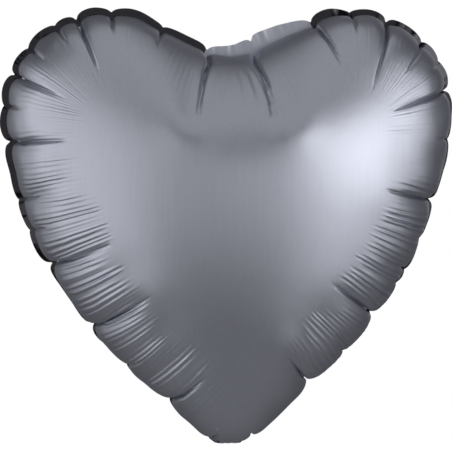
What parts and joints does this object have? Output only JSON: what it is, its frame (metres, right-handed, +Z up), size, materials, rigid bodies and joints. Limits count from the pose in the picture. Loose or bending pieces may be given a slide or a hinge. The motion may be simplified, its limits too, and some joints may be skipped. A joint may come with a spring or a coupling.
{
  "type": "foil balloon",
  "caption": "Inflated heart-shaped foil balloon: two foil panels heat-sealed round a flat rim, with a flat filling valve in the neck and a tail folded behind the tip.",
  "frame": {"origin": "middle of the neck, on the fold line where a ribbon is tied, in the plane of the seam", "axes": "+Z up from the neck to the cleft, front panel faces -Y, +X to the right seen from the front"},
  "size_m": [0.3724, 0.2016, 0.3634],
  "materials": {
    "foil": "satin metallised film, graphite grey",
    "weld": "glossy fused film",
    "valve_film": "clear thin polyethylene film",
    "release_coat": "matte non-stick print"
  },
  "bodies": {
    "balloon": {"front_foil_panel": "foil", "back_foil_panel": "foil", "rim_seal_band": "weld", "valve_front_film": "valve_film", "valve_back_film": "valve_film", "valve_side_welds": "valve_film", "valve_release_coat": "release_coat"},
    "tail": {"tail_front_foil": "foil", "tail_back_foil": "foil", "tail_side_welds": "weld", "tail_valve_front_film": "valve_film", "tail_valve_back_film": "valve_film"}
  },
  "joints": [
    {"name": "tail_fold", "type": "hinge", "parent": "balloon", "child": "tail", "pos_m": [0, 0, -0.002], "axis": [-1, 0, 0], "range_deg": [0, 170]}
  ]
}
